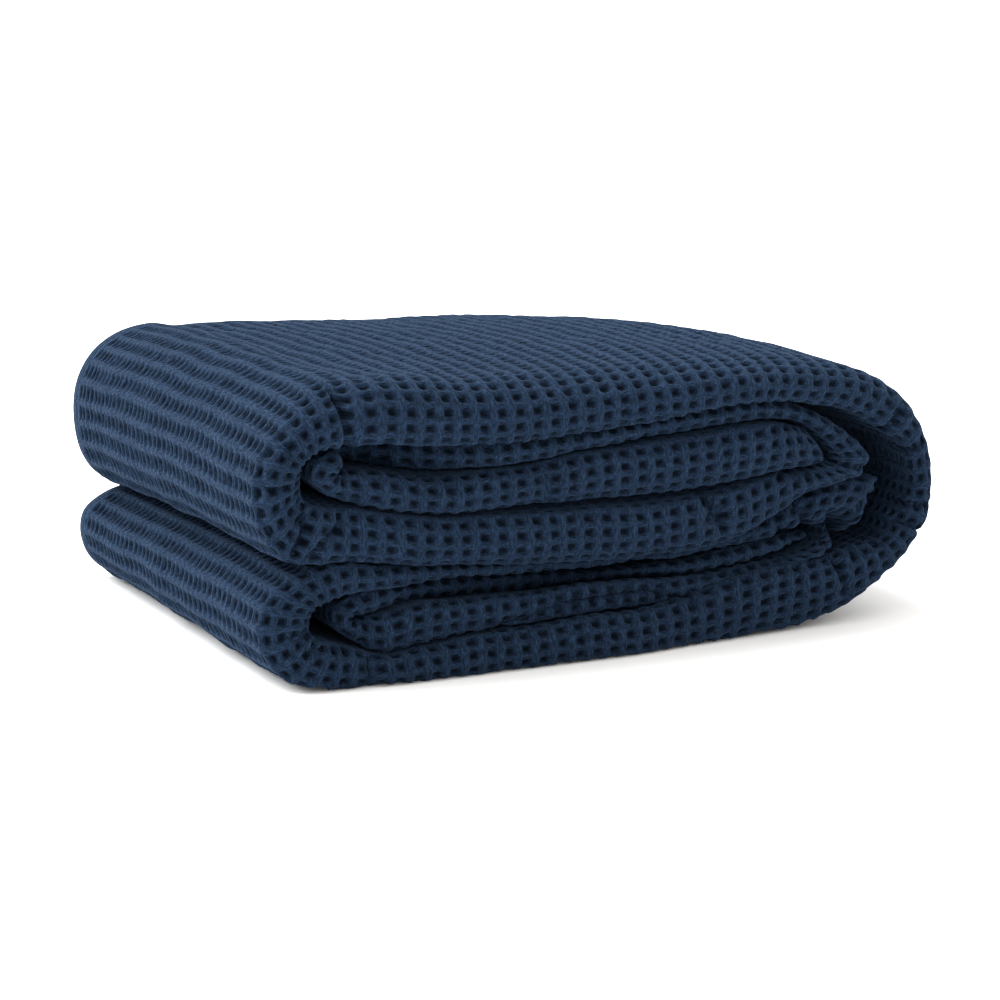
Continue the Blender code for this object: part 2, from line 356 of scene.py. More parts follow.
ALONG, CUTS, CLOTH_AT_ROW = even_cuts(strip_rows)
print("strip length in mm:", round(ALONG[-1]), "- cuts:", len(ALONG))


def cloth_at(name, share):
    """Cut number at a share of the way through a fold or turn, on a ridge between two cells."""
    first, last = spans[name]
    place = CLOTH_AT_ROW[first] + share * (CLOTH_AT_ROW[last] - CLOTH_AT_ROW[first])
    return int(round(place / CELL_ALONG)) * STEPS_ALONG


# %% [markdown]
# ## Across the strip
#
# At each cut the outer ply comes forward along the hem side, rolls round the spine and goes back
# along the other side. Each side's roll is a quarter of an ellipse. Distances across the cloth are
# measured from the nose of the spine, so that the rows of cells run along the spines.

# %% Draw the outer ply of each cut
ROLL_STEPS = 14       # points on each quarter ellipse


def roll_line(reach, height):
    """A quarter ellipse from the nose: cloth length, place back from the nose and share of height."""
    angle = np.linspace(0, math.pi / 2, ROLL_STEPS)[None, :]
    back = reach[:, None] * (1 - np.cos(angle))
    rise = np.sin(angle) * np.ones_like(back)
    step = np.hypot(np.diff(back, axis=1), np.diff(rise * height[:, None], axis=1))
    return added_up(step), back, rise


class OuterPly:
    """The line of the outer ply at each of some cuts, from the hem round the spine to the back."""

    def __init__(self, cuts):
        self.thick = np.hypot(cuts[:, 0] - cuts[:, 2], cuts[:, 1] - cuts[:, 3])
        self.front = cuts[:, SET_BACK] + 0.5 * CLOTH
        self.back = cuts[:, BACK_EDGE]
        self.low = 0.5 * CLOTH / self.thick
        self.high = 1 - self.low
        self.nose = self.low + cuts[:, NOSE] * (self.high - self.low)
        self.hem_reach, self.other_reach = cuts[:, HEM_ROLL], cuts[:, OTHER_ROLL]
        self.hem_roll = roll_line(self.hem_reach, (self.high - self.nose) * self.thick)
        self.other_roll = roll_line(self.other_reach, (self.nose - self.low) * self.thick)
        self.hem_at = self.hem_roll[0][:, -1] + self.back - self.front - self.hem_reach
        self.end_at = -(self.other_roll[0][:, -1] + self.back - HEM_STEP - self.front
                        - self.other_reach)

    def level(self, number):
        """Share of the thickness at which a ply's middle lies."""
        return self.low + number / TOP_PLY * (self.high - self.low)

    def read(self, across):
        """Place back from the front and share of thickness, at distances from the nose."""
        y = np.empty_like(across)
        share = np.empty_like(across)
        for i, row in enumerate(across):
            for side, (length, back, rise), flat in ((1, self.hem_roll, self.high[i]),
                                                     (-1, self.other_roll, self.low[i])):
                here = row * side >= 0
                distance = row[here] * side
                beyond = np.maximum(distance - length[i, -1], 0)
                y[i, here] = self.front[i] + np.interp(distance, length[i], back[i]) + beyond
                rises = np.interp(distance, length[i], rise[i])
                share[i, here] = self.nose[i] + rises * (flat - self.nose[i])
        return y, share


whole = OuterPly(CUTS)
print("cloth in the outer ply, in mm:", round(float(np.mean(whole.hem_at - whole.end_at))))

# %% [markdown]
# ## The crown
#
# A pile of cloth is no box. This one is highest a little behind its front and droops towards the
# back, most of all on the right. To give each fold its own droop would take many more numbers, so
# the folds are laid level, and then every height is scaled by where it lies.

# %% Crown the pile
CROWN_Y = 95          # the pile is highest this far behind its front
CROWN_RISE = 0.022    # how much higher it is there, as a share of its height
FRONT_DROP = 0.025    # and how much of it is lost again at the front
BACK_DROP = (0.045, 0.048, 0.088, 0.103, 0.125, 0.14)     # and at the back, at the places of DEEP_X


def smooth(value):
    """Eases from 0 to 1 as the value goes from 0 to 1."""
    value = np.clip(value, 0, 1)
    return value * value * (3 - 2 * value)


def crown(x, y, z):
    """Height after the pile has been crowned."""
    front = FRONT_DROP * np.clip((CROWN_Y - y) / CROWN_Y, 0, None) ** 2
    behind = np.clip((y - CROWN_Y) / (DEPTH - CROWN_Y), 0, None) ** 2
    back = np.interp(x, DEEP_X, BACK_DROP) * behind
    base = 0.5 * CLOTH
    return base + (z - base) * (1 + CROWN_RISE - front - back)


print("height of the crown, in mm:", round(float(crown(140, CROWN_Y, 139)), 1))

# %% [markdown]
# ## Creases
#
# Heavy cloth tucks and creases where it is bent. A cloth simulation makes such creases, but never
# where this blanket has them, so each is drawn: a soft trough along a line on the pile's front, in
# x and z. It pushes the cloth back, most of all at the front, and fades out at both ends of its
# line. A push moves a larger patch, such as a sagging corner.

# %% Describe the creases and pushes
CREASES = [
    # half width, depth, then the line's points as x, z
    (1.4, 9.0, (98, 20), (118, 24.5), (137, 28.2), (158.7, 28.8), (186.5, 28.4), (210, 21)),
    (2.2, 15.0, (20.5, 138), (22.5, 128), (24.5, 120), (26, 111)),
    (1.8, 4.0, (-5, 119), (-3, 111)),
    (1.8, 3.0, (-3, 128), (-13, 116), (-17.5, 98), (-16.5, 84), (-8, 71)),
    (1.8, 4.5, (-17, 99), (-7, 98.5)),
    (2.2, 9.0, (2.5, 90), (2.8, 77.2), (-2.5, 65)),
    (2.3, 6.0, (22, 83), (20.6, 79), (11.5, 70.5), (2, 61.7)),
    (2.2, 4.5, (-8, 28.5), (6, 26.5)),
    (2.0, 4.5, (2, 19), (14, 19.5), (26, 17.5)),
    (2.5, 5.5, (33, 14.5), (33.5, 2)),
    (2.5, 3.5, (127.2, 100), (127.3, 79)),
    (3.2, 8.0, (214, 75.5), (218.7, 66), (222.5, 58)),
    (1.4, 13.0, (326, 109), (318, 95)),
    (1.3, 11.0, (341, 90.5), (327, 84.5)),
    (1.4, 9.0, (347, 58.5), (333, 59)),
    (1.4, 9.0, (342, 44), (327, 51)),
    (1.8, 8.0, (290.5, 34), (298.5, 16)),
    (1.4, 7.0, (288, 84), (313, 78.5)),
    (2.0, 8.0, (272, 64.5), (277, 52), (284, 41)),
    (3.0, 20.0, (291, 56.6), (297.5, 50.8), (300, 43), (304, 36.5)),
    (2.8, 20.0, (321, 68), (312.5, 57), (311, 51), (315, 42)),
    (1.5, -5.0, (305.5, 51), (312.5, 62), (320, 71)),
    (3.2, 16.0, (317, 95), (319.5, 87), (326.5, 77), (333, 65)),
    (1.5, 9.0, (273, 62), (279, 54), (285.5, 45.5), (290, 38)),
    (1.5, 8.0, (264.5, 52.5), (272.5, 45.5), (279.5, 38.5)),
    (1.5, 9.0, (260.5, 79), (270, 79.6), (279, 81)),
    (2.4, 7.0, (262, 53), (273, 42)),
]
PUSHES = [
    # centre x, y, z       reach x, y, z      move x, y, z
    (45, 22, 142,          38, 45, 17,        0, 0, 3.8),
    (-8, 279, 56,          40, 150, 26,       0, 0, -5),
    (-12, 250, 128,        18, 130, 22,       -1, 0, 2.5),
    (318, 235, 128,        44, 110, 30,       0, 0, -8.5),
    (328, 34, 80,          11, 34, 18,        7, 0, 2),
    (318, 30, 47,          10, 30, 9,         2, 0, -5),
    (297, 12, 46,          6, 16, 8,          0, 11, 0),
]
print("creases:", len(CREASES), "- pushes:", len(PUSHES))

# %% Press them into the cloth
CREASE_DEPTH = 38     # how far behind the front a crease still shows
FADING_END = 1 / 6    # share of its line over which a crease fades out at each end
KEPT_AT_END = 0.35    # and the share of its depth that it keeps there


def distance_to_line(x, z, points):
    """Distance in x and z to a line of points, and how far along it the nearest place lies."""
    nearest = np.full(x.shape, np.inf)
    place = np.zeros(x.shape)
    total = sum(math.dist(a, b) for a, b in zip(points, points[1:]))
    before = 0.0
    for (ax, az), (bx, bz) in zip(points, points[1:]):
        length = math.dist((ax, az), (bx, bz))
        share = np.clip(((x - ax) * (bx - ax) + (z - az) * (bz - az)) / length ** 2, 0, 1)
        distance = np.hypot(x - ax - share * (bx - ax), z - az - share * (bz - az))
        nearer = distance < nearest
        nearest = np.where(nearer, distance, nearest)
        place = np.where(nearer, (before + share * length) / total, place)
        before += length
    return nearest, place


def pressed(points):
    """The points with every crease and push pressed into them."""
    x, y, z = (points[..., k].copy() for k in range(3))
    for half_width, depth, *line in CREASES:
        nearest, place = distance_to_line(x, z, line)
        ends = np.clip(place / FADING_END, 0, 1) * np.clip((1 - place) / FADING_END, 0, 1)
        along = KEPT_AT_END + (1 - KEPT_AT_END) * ends
        y = y + depth * np.exp(-(nearest / half_width) ** 2) * along * (1 - smooth(y / CREASE_DEPTH))
    moved = np.stack([x, y, z], axis=-1)
    for row in PUSHES:
        centre, reach, move = (np.array(row[k:k + 3], float) for k in (0, 3, 6))
        weight = np.exp(-np.sum(((points - centre) / reach) ** 2, axis=-1))
        moved += weight[..., None] * move
    return moved


on_crease = np.array([118.0, 0.0, 24.5])
print("moved on the first crease, in mm:", np.round(pressed(on_crease) - on_crease, 1))

# %% [markdown]
# The line across a cut becomes a place in space by walking from the fold's one face to the other.
# Then the crown and the creases move it.

# %% Place points in space
def in_space(cuts, y, share):
    """Points of the cloth's middle surface, from places back and shares of the thickness."""
    depth = smooth(y / FLUFF_DEPTH)[..., None]
    hem = cuts[:, None, 0:2] * (1 - depth) + cuts[:, None, 4:6] * depth
    other = cuts[:, None, 2:4] * (1 - depth) + cuts[:, None, 6:8] * depth
    place = other + (hem - other) * share[..., None]
    x, z = place[..., 0], place[..., 1]
    return pressed(np.stack([x, y, crown(x, y, z)], axis=-1))


start_of_strip = in_space(CUTS[:1], np.zeros((1, 1)), np.ones((1, 1)))[0, 0]
print("the strip starts at, in mm:", np.round(start_of_strip, 1))

# %% [markdown]
# ## Columns of samples
#
# A mesh of the whole sheet at one fine spacing would be far too heavy. So the samples across the
# cloth come in zones: close together where the cells show, and far apart where one fold hides
# another. Each zone has its own start and end at every cut.

# %% Lay out the samples across the outer ply
STEPS_ACROSS = 6      # samples of a cell across the strip
HEM_COLUMNS = 8       # samples across the hem
STITCH_COLUMN = HEM_COLUMNS * STITCH_AT // HEM_WIDTH    # the one on the line of stitches
PLAIN_COLUMNS = 9     # samples across a part without cells
TAIL_COLUMNS = 3      # samples across the tail behind the back edge
MANY_CELLS = 10       # a piece that shows more rows of cells than this has them up to its hem
BACK_CELLS = 0.6      # depth of the cells round the back edge, as a share
LEVEL_ONE_TAIL = 25   # how far the outer ply's mesh follows the cloth round its back edge
ARC_STEPS = 12        # samples round the back edge
BACK_ROUNDNESS = 1.2  # how far the back edge stands out, against a half circle


def zone(start, end, count, last=False):
    """Evenly spread samples from start to end at every cut, without the last one."""
    shares = np.linspace(0, 1, count + 1)
    if not last:
        shares = shares[:-1]
    return start[:, None] + (end - start)[:, None] * shares[None, :]


def back_arc(ply, start_level, end_level, across):
    """The rounded back edge that joins two plies, starting at a distance across."""
    angle = np.linspace(0, math.pi, ARC_STEPS + 1)[None, :]
    edge = (ply.back - HEM_STEP)[:, None]
    first, second = ply.level(start_level)[:, None], ply.level(end_level)[:, None]
    half = 0.5 * np.abs(second - first) * ply.thick[:, None]
    y = edge + BACK_ROUNDNESS * half * np.sin(angle)
    share = 0.5 * (first + second) + 0.5 * (first - second) * np.cos(angle)
    return across[:, None] - half * angle, y, share


def outer_samples(ply, cells_shown, cells_behind):
    """Distances across, places back, shares of thickness and how far the cells show in each.

    Cells are fine for cells_shown rows on the hem side of the nose, and cells_behind on the other.
    """
    band_start = ply.hem_at - HEM_WIDTH
    fine_start = np.minimum(cells_shown * CELL_ACROSS, band_start - 1)
    fine_end = np.full(len(ply.thick), -cells_behind * CELL_ACROSS)
    all_over = cells_shown > MANY_CELLS
    between = PLAIN_COLUMNS
    if all_over:
        cells_between = np.ceil((band_start - fine_start).max() / CELL_ACROSS)
        between = int(max(1, cells_between) * STEPS_ACROSS)
    zones = [zone(ply.hem_at, band_start, HEM_COLUMNS),
             zone(band_start, fine_start, between),
             zone(fine_start, fine_end, (cells_shown + cells_behind) * STEPS_ACROSS),
             zone(fine_end, ply.end_at, PLAIN_COLUMNS, last=True)]
    across = np.concatenate(zones, axis=1)
    y, share = ply.read(across)
    arc_across, arc_y, arc_share = back_arc(ply, start_level=0, end_level=1, across=ply.end_at)
    tail = zone(arc_across[:, -1], arc_across[:, -1] - LEVEL_ONE_TAIL, TAIL_COLUMNS, last=True)[:, 1:]
    tail_y = arc_y[:, -1:] + (tail - arc_across[:, -1:])
    tail_share = np.repeat(ply.level(1)[:, None], TAIL_COLUMNS, axis=1)
    widths = [part.shape[1] for part in zones] + [arc_across.shape[1] - 1, TAIL_COLUMNS]
    shows = np.repeat((0.0, float(all_over), 1.0, 0.0, BACK_CELLS, 0.0), widths)
    return (np.concatenate([across, arc_across[:, 1:], tail], axis=1),
            np.concatenate([y, arc_y[:, 1:], tail_y], axis=1),
            np.concatenate([share, arc_share[:, 1:], tail_share], axis=1), shows)


narrow = outer_samples(whole, cells_shown=3, cells_behind=2)
print("samples across a narrow piece:", narrow[0].shape[1])

# %% [markdown]
# ## The waffle
#
# In a waffle weave, long floating threads draw up into ridges round small square pits. A bump map
# would leave the outline of the cloth flat, so the cells are real relief: the ply's surface is
# pushed in by the depth of the pit at each sample. Cotton isn't even, so the grid wanders a little,
# pits differ in depth, and the cloth itself has slow swells.

# %% Shape the cells
PIT_FLOOR = (0.16, 0.18)    # how far a pit's floor reaches to the ridges, along and across
RIDGE_FOOT = (0.80, 0.82)   # and how far its slopes do
DRAWN_PIT = 0.05      # how much longer the pits are where a turn draws the cloth out
CROSS_RIDGE = 0.88    # height of the ridges along the strip, as a share of those across it
CROWDING = 0.0003     # how much closer together the rows of cells lie with each mm from the spine
WANDER = (0.32, 0.42) # how far the grid wanders, along the strip and across it
WANDER_SIZE = 80      # over about this many mm
WAVE_PACES = (0.6, 1.6)     # the least and most waves that a swell has to its size
PIT_RANGE = (0.80, 1.12)    # the pits' depths, as shares
PIT_TABLE = (97, 89)  # after so many pits the depths come again


def soft_waves(a, b, size, seed, count=9):
    """Slow random swells of about one unit high, a sum of plain waves."""
    rng = np.random.default_rng(seed)
    total = np.zeros(np.broadcast(a, b).shape)
    for _ in range(count):
        heading, phase = rng.uniform(0, 2 * math.pi, 2)
        pace = 2 * math.pi * rng.uniform(*WAVE_PACES) / size
        total += np.sin(pace * (a * math.cos(heading) + b * math.sin(heading)) + phase)
    return total / math.sqrt(count / 2)


def cell_places(along, across):
    """Where each sample lies in the weave, counted in cells, with the weave's small wandering."""
    columns = (along + WANDER[0] * soft_waves(along, across, WANDER_SIZE, seed=11)) / CELL_ALONG
    crowded = across * (1 + CROWDING * np.abs(across))
    rows = (crowded + WANDER[1] * soft_waves(along, across, WANDER_SIZE, seed=12)) / CELL_ACROSS
    return columns, rows


def pit_depth(columns, rows, drawn):
    """0 on the ridges and about 1 on the floor of a cell; drawn is 1 where the cloth is drawn out."""
    ridges = []
    for places, floor, foot, share in zip((columns, rows), PIT_FLOOR, RIDGE_FOOT, (drawn, 0)):
        from_middle = np.abs(2 * (places % 1) - 1)
        ridges.append(smooth((from_middle - floor - DRAWN_PIT * share) / (foot - floor)))
    ridge_along, ridge_across = ridges
    table = np.random.default_rng(5).uniform(*PIT_RANGE, PIT_TABLE)
    each = table[tuple(np.floor(places).astype(int) % count
                       for places, count in zip((columns, rows), PIT_TABLE))]
    return (1 - ridge_along) * (1 - CROSS_RIDGE * ridge_across) * each


print("pit depth along a cell:", np.round(pit_depth(np.linspace(0, 1, 9), np.full(9, 0.5), 0), 2))

# %% [markdown]
# ## The way out of the cloth
#
# The relief is pushed in along the direction that points out of the cloth. The slopes of the grid
# give it, but where cloth is folded tightly they can turn over. There the direction comes from the
# cut alone, which always knows where its hem side is.

# %% Find the way out
TURNED_OVER = 0.35    # below this likeness a direction out of the cloth isn't trusted


def unit(vectors):
    """The vectors at length 1."""
    return vectors / np.maximum(np.linalg.norm(vectors, axis=-1, keepdims=True), 1e-9)


def normals_of(points, cuts):
    """Directions out of the cloth's hem side."""
    across = np.gradient(points, axis=1)
    outward = unit(np.cross(across, np.gradient(points, axis=0)))
    x, z = cuts[:, 0] - cuts[:, 2], cuts[:, 1] - cuts[:, 3]
    to_hem = unit(np.stack([x, np.zeros(len(cuts)), z], axis=-1))[:, None, :]
    line = unit(across)
    rise = np.sum(line * to_hem, axis=-1, keepdims=True)
    plain = unit(rise * np.array([0.0, 1.0, 0.0]) - line[..., 1:2] * to_hem)
    doubtful = np.sum(outward * plain, axis=-1, keepdims=True) < TURNED_OVER
    return np.where(doubtful, plain, outward)


some_cuts = CUTS[:STEPS_ALONG]
_, some_y, some_share, _ = outer_samples(OuterPly(some_cuts), cells_shown=3, cells_behind=2)
some_points = in_space(some_cuts, some_y, some_share)
print("way out at the first cut:", np.round(normals_of(some_points, some_cuts)[0, 0], 2))

# %% [markdown]
# ## From samples to a shell
#
# Each piece of cloth is a closed shell: the relief side at full detail, and the hidden side with
# one sample to a cell. Walls join the two all round. A Solidify modifier could thicken a sheet, but
# it would double all the fine cells. The arrays go straight into the mesh, which is much faster
# than adding faces one by one.

# %% Build shells
def wall_faces(number, under, rows, columns):
    """The faces that join the shown side's edges to the hidden side's."""
    walls = []
    for k in range(len(columns) - 1):
        first, last = columns[k], columns[k + 1]
        walls.append([*number[0, first:last + 1][::-1], under[0, k], under[0, k + 1]])
        walls.append([*number[-1, first:last + 1], under[-1, k + 1], under[-1, k]])
    for k in range(len(rows) - 1):
        first, last = rows[k], rows[k + 1]
        walls.append([*number[first:last + 1, 0], under[k + 1, 0], under[k, 0]])
        walls.append([*number[first:last + 1, -1][::-1], under[k, -1], under[k + 1, -1]])
    return walls


def mesh_of(name, points, loops, totals):
    """A mesh of points in mm, with faces of so many corners each."""
    mesh = bpy.data.meshes.new(name)
    mesh.vertices.add(len(points))
    mesh.vertices.foreach_set("co", to_metres(points).astype(np.float32).ravel())
    mesh.loops.add(len(loops))
    mesh.loops.foreach_set("vertex_index", loops)
    mesh.polygons.add(len(totals))
    mesh.polygons.foreach_set("loop_start", added_up(totals)[:-1].astype(np.int32))
    mesh.update(calc_edges=True)
    return mesh


def shell(name, shown, hidden, rows, columns, maps, hem_columns):
    """A closed mesh from the shown side's points and the hidden side's fewer ones.

    rows and columns number the shown points that the hidden ones lie behind. maps holds the shown
    points' places on each UV map. The shown faces of hem_columns get the second material.
    """
    n, m = shown.shape[:2]
    number = np.arange(n * m).reshape(n, m)
    under = n * m + np.arange(len(rows) * len(columns)).reshape(len(rows), len(columns))
    shown_faces = np.stack([number[:-1, :-1], number[:-1, 1:], number[1:, 1:], number[1:, :-1]], -1)
    hidden_faces = np.stack([under[:-1, :-1], under[1:, :-1], under[1:, 1:], under[:-1, 1:]], -1)
    walls = wall_faces(number, under, rows, columns)
    flat_faces = np.concatenate([shown_faces.ravel(), hidden_faces.ravel()])
    loops = np.concatenate([flat_faces, *walls]).astype(np.int32)
    wall_sizes = [len(wall) for wall in walls]
    totals = np.concatenate([np.full(len(flat_faces) // 4, 4), wall_sizes]).astype(np.int32)
    points = np.concatenate([shown.reshape(-1, 3), hidden.reshape(-1, 3)])
    mesh = mesh_of(name, points, loops, totals)
    for label, places in maps.items():
        under_places = places[np.ix_(rows, columns)]
        places = np.concatenate([places.reshape(-1, 2), under_places.reshape(-1, 2)])
        layer = mesh.uv_layers.new(name=label)
        layer.data.foreach_set("uv", places[loops].astype(np.float32).ravel())
    of_shown = np.zeros((n - 1, m - 1), dtype=np.int32)
    of_shown[:, hem_columns] = 1
    material = np.zeros(len(totals), dtype=np.int32)
    material[:of_shown.size] = of_shown.ravel()
    mesh.polygons.foreach_set("material_index", material)
    mesh.validate()
    mesh.shade_smooth()
    edge_of_loop = np.empty(len(mesh.loops), dtype=np.int32)
    mesh.loops.foreach_get("edge_index", edge_of_loop)
    sharp = np.zeros(len(mesh.edges), dtype=bool)
    sharp[edge_of_loop[len(flat_faces):]] = True      # all round the walls
    mesh.attributes.new("sharp_edge", "BOOLEAN", "EDGE").data.foreach_set("value", sharp)
    piece = bpy.data.objects.new(name, mesh)
    bpy.context.scene.collection.objects.link(piece)
    return piece


def thinned(count, step):
    """Every step-th number below count, with the last one."""
    return sorted({*range(0, count, step), count - 1})


print("of 20 cuts the hidden side keeps:", thinned(20, STEPS_ALONG))

# %% [markdown]
# ## The outer ply
#
# The outer ply is the one that shows: the whole top, both sides and every spine. It is cut into
# lengths along the strip, on ridges where the cut can't be seen, so that no mesh grows too heavy.
# A length whose hem side shows has cells all over. The others have them near the spine only.

# %% Name the lengths of the outer ply
WIDE = 36             # rows of fine cells from the nose that a length with a visible hem side has
NARROW = 3            # and that the others have
BEHIND = 2            # rows of fine cells on the other side of the nose
FAR_BEHIND = 7        # and on the right, where the inside of the big turn shows
LENGTHS = {
    "blanket_upper_core": (0, cloth_at("AD", 0.0) - STEPS_ALONG, NARROW, BEHIND),
    "blanket_upper_left": (cloth_at("AD", 0.0) - STEPS_ALONG, cloth_at("A", 0.5), WIDE, BEHIND),
    "blanket_upper_right": (cloth_at("A", 0.5), cloth_at("AH", 0.5), WIDE, FAR_BEHIND),
    "blanket_lower_right": (cloth_at("AH", 0.5), cloth_at("H", 0.6), WIDE, FAR_BEHIND),
    "blanket_lower_left": (cloth_at("H", 0.6), cloth_at("EH", 1.0) + STEPS_ALONG, WIDE, BEHIND),
    "blanket_lower_core": (cloth_at("EH", 1.0) + STEPS_ALONG, len(ALONG) - 1, NARROW, BEHIND),
}
print("cuts in each length:", [last - first for first, last, _, _ in LENGTHS.values()])

# %% Make the outer ply
SWELLS = ((0.27, 70, 21), (0.15, 24, 22))    # the slow swells' height, size and seed
BACKING = 1.0         # the hidden side lies this far behind the cloth's middle
SHOWN_OFFSET = 0.5 * CLOTH
STITCH_GROOVE = 0.25  # depth of the stitches' groove, as a share of a pit's
PLAIN_DEPTH = 0.2     # how far plain cloth lies below the ridges, as a share of a pit's depth
HEM_PRESSED = 0.8     # how much flatter the cloth is at its very edge
END_ROUNDING = 3      # cuts over which the cloth's raw ends are rounded off
LEAST_ROUNDING = 0.05 # how much of its thickness the very end keeps, squared


def end_rounding(first, last):
    """How far the cloth's faces stand off its middle at each cut: less at the strip's free ends."""
    numbers = np.arange(first, last + 1)
    from_end = np.minimum(numbers, len(ALONG) - 1 - numbers)
    inward = np.minimum(from_end, END_ROUNDING) / END_ROUNDING
    return np.sqrt(np.clip(1 - (1 - inward) ** 2, LEAST_ROUNDING, 1))


def outer_length(name, first, last, cells_shown, cells_behind):
    """One length of the outer ply, as a shell."""
    cuts = CUTS[first:last + 1]
    ply = OuterPly(cuts)
    across, y, share, shows = outer_samples(ply, cells_shown, cells_behind)
    along = ALONG[first:last + 1, None]
    points = in_space(cuts, y, share)
    outward = normals_of(points, cuts)
    swell = sum(height * soft_waves(along, across, size, seed) for height, size, seed in SWELLS)
    columns, rows = cell_places(along, across)
    drawn = (cuts[:, STRETCH, None] - 1) / (TURN_STRETCH - 1)
    pits = pit_depth(columns, rows, drawn) * shows + PLAIN_DEPTH * (1 - shows)
    pits[:, STITCH_COLUMN] += STITCH_GROOVE
    rounding = end_rounding(first, last)[:, None]
    from_hem = ply.hem_at[:, None] - across
    flatter = 1 - HEM_PRESSED * smooth(1 - from_hem / (0.5 * CLOTH))
    offset = rounding * (SHOWN_OFFSET - PIT * pits) * flatter
    shown = points + outward * (swell + offset)[..., None]
    shown[..., 2] = np.maximum(shown[..., 2], 0)      # the cloth rests on the floor
    keep_rows = thinned(last - first + 1, STEPS_ALONG)
    keep_columns = thinned(shown.shape[1], STEPS_ACROSS)
    pick = np.ix_(keep_rows, keep_columns)
    hidden = points[pick] - outward[pick] * BACKING * rounding[keep_rows][..., None]
    maps = {"weave": np.stack([columns, rows], axis=-1),
            "hem": np.stack([along * np.ones_like(across), from_hem], axis=-1) / HEM_WIDTH}
    piece = shell(name, shown, hidden, keep_rows, keep_columns, maps, slice(0, HEM_COLUMNS))
    width = float(np.mean(across[:, 0] - across[:, -1])) * MM
    return piece, (width, (ALONG[last] - ALONG[first]) * MM)


def describe(name, piece, flat):
    """Prints a piece's triangles and its flat size."""
    triangles = sum(len(face.vertices) - 2 for face in piece.data.polygons)
    print(name, "triangles:", triangles, "flat size:", [round(side, 3) for side in flat])


pieces = {}
for name, length in LENGTHS.items():
    pieces[name] = outer_length(name, *length)
    describe(name, *pieces[name])

# %% [markdown]
# ## The plies inside
#
# The other four plies lie inside the outer one. They show at the back, where the cloth is folded
# back and forth, and at the strip's two free ends. From where the outer ply's mesh stops, the cloth
# runs along level 1, round a nested spine to level 4, round the back edge to level 3, and round the
# innermost spine to level 2, where its second hem is. No cells are needed there, so two samples to
# a cell are enough.

# %% Draw the line of the inner plies
NEST = 1.05           # how far a nested spine stands behind the one around it, in ply pitches
NESTED_REACH = 0.75   # its roll, as a share of the outer ply's
NOSE_ROOM = (0.35, 0.65)    # where its nose may lie between its two plies
INNERMOST = 2.4       # how many times further back the innermost spine stands


def nested_spine(ply, gap, reach, start_level, end_level, steps):
    """The rounded front edge that joins two inner plies, as places back and shares."""
    start, end = ply.level(start_level)[:, None], ply.level(end_level)[:, None]
    middle = np.clip(ply.nose[:, None], *(room * (start + end) for room in NOSE_ROOM))
    nose = ply.front[:, None] + gap
    angle = np.linspace(-math.pi / 2, math.pi / 2, steps + 1)[None, :]
    first = angle < 0
    y = nose + np.where(first, reach[0], reach[1]) * (1 - np.cos(angle))
    share = middle + np.where(first, middle - start, end - middle) * np.sin(angle)
    return y, share


def inner_line(ply):
    """Places back and shares of thickness along the four inner plies."""
    pitch = ((ply.high - ply.low) / TOP_PLY * ply.thick)[:, None]
    back = (ply.back - HEM_STEP)[:, None]
    reaches = [NESTED_REACH * reach[:, None] for reach in (ply.other_reach, ply.hem_reach)]
    outer_y, outer_share = nested_spine(ply, NEST * pitch, reaches,
                                        start_level=1, end_level=4, steps=10)
    inner_y, inner_share = nested_spine(ply, INNERMOST * NEST * pitch, [0.5 * pitch] * 2,
                                        start_level=3, end_level=2, steps=4)
    _, arc_y, arc_share = back_arc(ply, start_level=4, end_level=3, across=ply.end_at)

    def flat(start, end, level, count):
        shares = np.linspace(0, 1, count)[None, 1:-1]
        y = start + (end - start) * shares
        return y, np.repeat(ply.level(level)[:, None], y.shape[1], axis=1)

    tail = back - LEVEL_ONE_TAIL
    hem = back - HEM_STEP
    parts = [(tail, ply.level(1)[:, None]),
             flat(tail, outer_y[:, :1], level=1, count=5),
             (outer_y, outer_share),
             flat(outer_y[:, -1:], arc_y[:, :1], level=4, count=6),
             (arc_y[:, ::2], arc_share[:, ::2]),
             flat(arc_y[:, -1:], inner_y[:, :1], level=3, count=5),
             (inner_y, inner_share),
             flat(inner_y[:, -1:], hem - HEM_WIDTH, level=2, count=6),
             (hem - HEM_WIDTH, ply.level(2)[:, None]),
             (hem, ply.level(2)[:, None])]
    return [np.concatenate([part[k] for part in parts], axis=1) for k in (0, 1)]


print("samples across the inner plies:", inner_line(OuterPly(some_cuts))[0].shape[1])

# %% Make the inner plies
INNER_STEP = 4        # cuts from one sample to the next
INNER_GAP = 0.35      # air between two inner plies
INNER_THICKNESS = (0.6, 1.8)    # the least and the most
EDGE_THICKNESS = 0.4  # thickness of the first and last line across, as a share


